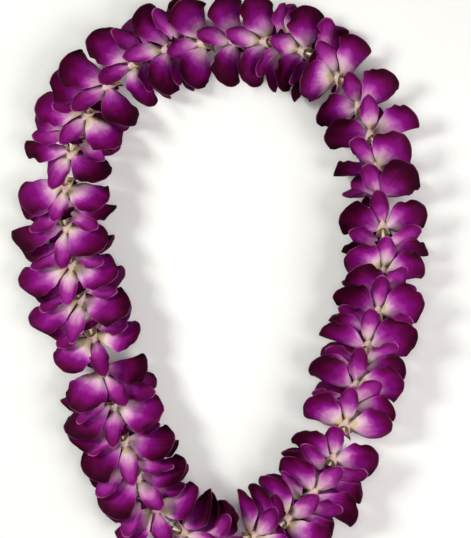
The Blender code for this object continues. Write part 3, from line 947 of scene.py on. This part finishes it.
def tepal_material(velvet):
    """Velvety tepal: pale base, rich middle and dark margin with painted shade at its sides, faint veins
    and a pale edge with a painted highlight.
    """
    nodes = Nodes(velvet.name)
    q, t, pattern = nodes.attribute("place")
    margin, tone, back = nodes.attribute("facts")
    lines, streak = veins(nodes, q, t, pattern, velvet.vein_count)
    blotch = nodes.noise(nodes.vector(q, nodes.times(t, BLOTCH_STRETCH), pattern), BLOTCH_SCALE, 2.0)
    across = nodes.math("ABSOLUTE", q)
    # Outer sides of the tepal: darker, partly its own border and partly painted shade, and where the pale
    # edge fades
    outer = nodes.times(nodes.step(across, *OUTER_ACROSS), nodes.step(t, *OUTER_ALONG))
    colour = nodes.ramp(shade_along(nodes, t, streak, blotch, tone, outer), velvet.shades)
    colour = with_veins(nodes, colour, lines, t)
    colour = with_edge_and_highlight(nodes, colour, velvet, margin, streak, outer)
    nodes.surface("Base Color", nodes.mix(nodes.times(back, BACK_SHARE), colour, BACK_COLOUR))
    nodes.surface("Roughness", nodes.plus(0.55, blotch, 0.2))
    nodes.surface("Specular IOR Level", 0.07)
    nodes.surface("Specular Tint", SHEEN_TINT)
    grain = nodes.noise(nodes.place(), GRAIN_SCALE, 2.0)
    height = nodes.plus(nodes.times(grain, GRAIN_SHARE), lines, VEIN_RELIEF)
    rounded = nodes.relief(dome(nodes, q, t), 1.0, DOME_HEIGHT)
    nodes.surface("Normal", nodes.relief(height, RELIEF_STRENGTH, RELIEF_HEIGHT, rounded))
    return nodes.material


def throat_material():
    """Pale greenish trumpet, olive and reddish brown deep inside, darker as it narrows: partly its own
    colour, partly painted shade.
    """
    nodes = Nodes("throat_flesh")
    turn, along, pattern = nodes.attribute("place")
    radius, _, inside = nodes.attribute("facts")
    streak = nodes.noise(nodes.vector(nodes.times(turn, 4.0), nodes.times(along, 0.12), pattern), 1.5, 4.0)
    skin = nodes.ramp(nodes.plus(0.1, streak, 0.8), THROAT_SKIN)
    # Darker where the inside narrows: partly its own olive and red-brown, partly painted shade
    depth = nodes.plus(radius, nodes.centred(streak), 1.6)
    deep = nodes.ramp(nodes.math("DIVIDE", depth, THROAT_WIDEST), THROAT_DEPTH_AND_SHADE)
    nodes.surface("Base Color", nodes.mix(inside, skin, deep))
    nodes.surface("Roughness", 0.42)
    nodes.surface("Specular IOR Level", 0.4)
    nodes.wax(0.2, (1.0, 0.9, 0.6), 0.0015)
    nodes.surface("Normal", nodes.relief(streak, 0.3, 0.0004))
    return nodes.material


def finger_material():
    """Waxy white finger with a cream cap and a purple flush at its foot."""
    nodes = Nodes("finger_wax")
    _, share, _ = nodes.attribute("place")
    blotch = nodes.noise(nodes.place(), 700.0, 3.0)
    nodes.surface("Base Color", nodes.ramp(nodes.plus(share, nodes.centred(blotch), 0.25), FINGER_SHADES))
    nodes.surface("Roughness", 0.35)
    nodes.wax(0.25, (1.0, 0.9, 0.7), 0.001)
    nodes.surface("Normal", nodes.relief(blotch, 0.25, 0.0003))
    return nodes.material


def cotton_material():
    """Undyed cotton with fine fibres along the plies."""
    nodes = Nodes("cotton_plies")
    turn, along, other = nodes.attribute("place")
    grown = nodes.vector(nodes.times(turn, 3.0), nodes.times(along, 0.7), nodes.times(other, 3.0))
    fibre = nodes.noise(grown, 2.5, 5.0, 0.7)
    nodes.surface("Base Color", nodes.ramp(fibre, COTTON_SHADES))
    nodes.surface("Roughness", 0.92)
    nodes.surface("Sheen Weight", 0.3)
    nodes.surface("Normal", nodes.relief(fibre, 0.6, 0.0002))
    return nodes.material


def floor_material():
    """Pale plain ground with the least grain."""
    nodes = Nodes("pale_ground")
    nodes.surface("Base Color", nodes.ramp(nodes.noise(nodes.place(), 6.0, 3.0), GROUND_SHADES))
    nodes.surface("Roughness", 0.8)
    nodes.surface("Specular IOR Level", 0.2)
    return nodes.material


def make_floor():
    """A plain floor under the lei."""
    half = FLOOR_SIZE / 2
    mesh = bpy.data.meshes.new("floor")
    points = [(-half, -half, 0), (half, -half, 0), (half, half, 0), (-half, half, 0)]
    mesh.from_pydata(points, [], [(0, 1, 2, 3)])
    mesh.materials.append(floor_material())
    floor = bpy.data.objects.new("floor", mesh)
    bpy.context.scene.collection.objects.link(floor)


def add_light(name, place, power, size, tint):
    """A square soft light aimed at the middle of the lei."""
    lamp = bpy.data.lights.new(name, "AREA")
    lamp.energy = power
    lamp.size = size
    lamp.color = tint
    light = bpy.data.objects.new(name, lamp)
    light.location = place
    light.rotation_euler = (-light.location).to_track_quat("-Z", "Y").to_euler()
    bpy.context.scene.collection.objects.link(light)


def light_scene():
    """Soft light from the left, less from the right and from above, and a dim even sky."""
    for light in LIGHTS:
        add_light(*light)
    world = bpy.data.worlds.new("studio")
    world.use_nodes = True
    background = world.node_tree.nodes["Background"]
    background.inputs["Color"].default_value = SKY_COLOUR
    background.inputs["Strength"].default_value = SKY
    bpy.context.scene.world = world
    bpy.context.scene.view_settings.view_transform = "Standard"


def make_camera():
    """A camera that looks straight down, as the photo does."""
    lens = bpy.data.cameras.new("camera")
    lens.sensor_fit = "HORIZONTAL"
    lens.sensor_width = SENSOR
    lens.lens = SENSOR * VIEW_DISTANCE / VIEW_WIDTH
    camera = bpy.data.objects.new("camera", lens)
    x, y = VIEW_CENTRE
    camera.location = (x * MM, y * MM, (VIEW_DISTANCE + VIEW_LEVEL) * MM)
    bpy.context.scene.collection.objects.link(camera)
    bpy.context.scene.camera = camera


def corners(box):
    return [[float(value) for value in corner] for corner in box]


def main():
    make_camera()
    light_scene()
    make_floor()
    route = Route()
    blooms = all_blooms()
    materials = [tepal_material(velvet) for velvet in VELVETS]
    materials += [throat_material(), finger_material()]
    for i in range(len(blooms)):
        make_bloom(route, blooms, i, materials)
    make_string(route, cotton_material())


main()
